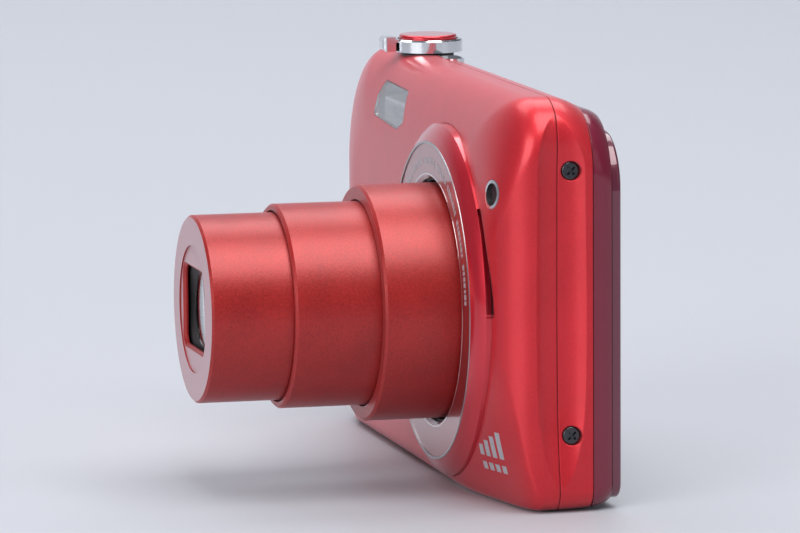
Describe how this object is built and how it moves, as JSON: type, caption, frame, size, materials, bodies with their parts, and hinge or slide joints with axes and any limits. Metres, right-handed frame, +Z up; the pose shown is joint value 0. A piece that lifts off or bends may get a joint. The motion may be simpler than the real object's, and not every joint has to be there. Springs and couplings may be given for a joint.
{
  "type": "compact digital camera",
  "caption": "Slim pocket digital camera with a telescoping zoom lens run out, sprung controls, rear monitor and a hinged battery door.",
  "frame": {"origin": "centre of the tripod socket's mouth, in the plane that the camera stands on", "axes": "+X along the width towards the lens end, -Y the way the lens points, +Z up"},
  "size_m": [0.0968, 0.0553, 0.0606],
  "materials": {
    "red_satin": "satin metallic red paint",
    "red_anodised": "satin anodised red",
    "red_gloss": "glossy plated red",
    "maroon_gloss": "glossy maroon",
    "plate_maroon": "glossy dark maroon",
    "chrome": "polished",
    "black_plastic": "matte black",
    "dark_glass": "polished",
    "clear_glass": "coated, polished",
    "steel": "stamped",
    "black_steel": "blackened",
    "board": "solder mask",
    "cell": "printed wrap, plain",
    "card": "moulded",
    "brass": "nickel brass",
    "grey_plastic": "satin"
  },
  "bodies": {
    "body": {"front_cover": "red_satin", "mid_frame": "red_satin", "rear_cover": "maroon_gloss", "back_plate": "plate_maroon", "monitor_window": "dark_glass", "lcd_panel": "black_plastic", "chassis": "steel", "lens_ring": "red_gloss", "ring_trim": "chrome", "ring_plate": "red_anodised", "lens_housing": "black_plastic", "image_sensor": "black_plastic", "zoom_motor": "steel", "flash_window": "clear_glass", "flash_reflector": "chrome", "flash_tube": "clear_glass", "flash_capacitor": "black_plastic", "af_lamp_bezel": "chrome", "af_lamp_lens": "clear_glass", "microphone": "black_steel", "speaker": "black_steel", "shutter_base": "black_plastic", "charge_lamp": "clear_glass", "main_board": "board", "battery_box": "black_plastic", "card_slot": "steel", "door_hinge_pin": "steel", "usb_connector": "steel", "strap_eyelet": "chrome", "tripod_socket": "brass", "side_screws": "black_steel", "bottom_screws": "black_steel"},
    "barrel_1": {"barrel_1": "red_anodised"},
    "barrel_2": {"barrel_2": "red_anodised"},
    "barrel_3": {"barrel_3": "red_anodised", "lens_baffle": "black_plastic", "front_lens": "clear_glass"},
    "blade_outer_upper": {"blade_outer_upper": "black_steel"},
    "blade_outer_lower": {"blade_outer_lower": "black_steel"},
    "blade_inner_upper": {"blade_inner_upper": "black_steel"},
    "blade_inner_lower": {"blade_inner_lower": "black_steel"},
    "rear_lens_group": {"rear_lens_group": "clear_glass"},
    "zoom_ring": {"zoom_ring": "chrome"},
    "shutter_button": {"shutter_button": "red_gloss"},
    "power_button": {"power_button": "chrome"},
    "record_button": {"record_button": "grey_plastic"},
    "mode_button": {"mode_button": "grey_plastic"},
    "playback_button": {"playback_button": "grey_plastic"},
    "menu_button": {"menu_button": "grey_plastic"},
    "delete_button": {"delete_button": "grey_plastic"},
    "multi_selector": {"multi_selector": "grey_plastic"},
    "ok_button": {"ok_button": "grey_plastic"},
    "battery_door": {"battery_door": "maroon_gloss"},
    "door_latch": {"door_latch": "grey_plastic"},
    "battery": {"battery": "cell"},
    "memory_card": {"memory_card": "card"},
    "connector_cover": {"connector_cover": "maroon_gloss"}
  },
  "joints": [
    {"name": "lens_retract", "type": "slide", "parent": "body", "child": "barrel_1", "axis": [0, 1, 0], "range_m": [0, 0.0108]},
    {"name": "barrel_2_retract", "type": "slide", "parent": "barrel_1", "child": "barrel_2", "axis": [0, 1, 0], "range_m": [0, 0.01245]},
    {"name": "barrel_3_retract", "type": "slide", "parent": "barrel_2", "child": "barrel_3", "axis": [0, 1, 0], "range_m": [0, 0.01185]},
    {"name": "blade_outer_upper_close", "type": "slide", "parent": "barrel_3", "child": "blade_outer_upper", "axis": [0, 0, -1], "range_m": [0, 0.00295]},
    {"name": "blade_outer_lower_close", "type": "slide", "parent": "barrel_3", "child": "blade_outer_lower", "axis": [0, 0, 1], "range_m": [0, 0.00295]},
    {"name": "blade_inner_upper_close", "type": "slide", "parent": "barrel_3", "child": "blade_inner_upper", "axis": [0, 0, -1], "range_m": [0, 0.0058]},
    {"name": "blade_inner_lower_close", "type": "slide", "parent": "barrel_3", "child": "blade_inner_lower", "axis": [0, 0, 1], "range_m": [0, 0.0058]},
    {"name": "focus_travel", "type": "slide", "parent": "body", "child": "rear_lens_group", "axis": [0, -1, 0], "range_m": [0, 0.0035]},
    {"name": "zoom_ring_turn", "type": "hinge", "parent": "body", "child": "zoom_ring", "pos_m": [-0.0264, 0.0009, 0.0585], "axis": [0, 0, 1], "range_deg": [-22, 22], "stiffness_Nm_per_rad": 0.02},
    {"name": "shutter_press", "type": "slide", "parent": "body", "child": "shutter_button", "axis": [0, 0, -1], "range_m": [0, 0.0005], "stiffness_N_per_m": 400},
    {"name": "power_press", "type": "slide", "parent": "body", "child": "power_button", "axis": [0, 0, -1], "range_m": [0, 0.0003], "stiffness_N_per_m": 400},
    {"name": "record_press", "type": "slide", "parent": "body", "child": "record_button", "axis": [0, -1, 0], "range_m": [0, 0.0003], "stiffness_N_per_m": 400},
    {"name": "mode_press", "type": "slide", "parent": "body", "child": "mode_button", "axis": [0, -1, 0], "range_m": [0, 0.0003], "stiffness_N_per_m": 400},
    {"name": "playback_press", "type": "slide", "parent": "body", "child": "playback_button", "axis": [0, -1, 0], "range_m": [0, 0.0003], "stiffness_N_per_m": 400},
    {"name": "menu_press", "type": "slide", "parent": "body", "child": "menu_button", "axis": [0, -1, 0], "range_m": [0, 0.0003], "stiffness_N_per_m": 400},
    {"name": "delete_press", "type": "slide", "parent": "body", "child": "delete_button", "axis": [0, -1, 0], "range_m": [0, 0.0003], "stiffness_N_per_m": 400},
    {"name": "selector_press", "type": "slide", "parent": "body", "child": "multi_selector", "axis": [0, -1, 0], "range_m": [0, 0.0003], "stiffness_N_per_m": 400},
    {"name": "ok_press", "type": "slide", "parent": "body", "child": "ok_button", "axis": [0, -1, 0], "range_m": [0, 0.0003], "stiffness_N_per_m": 400},
    {"name": "battery_door_swing", "type": "hinge", "parent": "body", "child": "battery_door", "pos_m": [-0.0227, 0.0045, 0.0007], "axis": [1, 0, 0], "range_deg": [0, 95.3]},
    {"name": "door_lock_slide", "type": "slide", "parent": "battery_door", "child": "door_latch", "axis": [1, 0, 0], "range_m": [0, 0.0015]},
    {"name": "battery_eject", "type": "slide", "parent": "body", "child": "battery", "axis": [0, 0, -1], "range_m": [0, 0.00415]},
    {"name": "card_eject", "type": "slide", "parent": "body", "child": "memory_card", "axis": [0, 0, -1], "range_m": [0, 0.00303]},
    {"name": "connector_cover_swing", "type": "hinge", "parent": "body", "child": "connector_cover", "pos_m": [-0.0479, 0.0035, 0.0305], "axis": [0, -1, 0], "range_deg": [0, 90]}
  ],
  "couplings": [
    {"joint": "barrel_2_retract", "follows": "lens_retract", "ratio": 1.1481},
    {"joint": "barrel_3_retract", "follows": "lens_retract", "ratio": 1.0926},
    {"joint": "blade_outer_upper_close", "follows": "lens_retract", "ratio": 0.26852},
    {"joint": "blade_outer_lower_close", "follows": "lens_retract", "ratio": 0.26852},
    {"joint": "blade_inner_upper_close", "follows": "lens_retract", "ratio": 0.53241},
    {"joint": "blade_inner_lower_close", "follows": "lens_retract", "ratio": 0.53241},
    {"joint": "battery_door_swing", "follows": "battery_eject", "rad_per_m": 400},
    {"joint": "card_eject", "follows": "battery_eject", "ratio": 0.72}
  ]
}
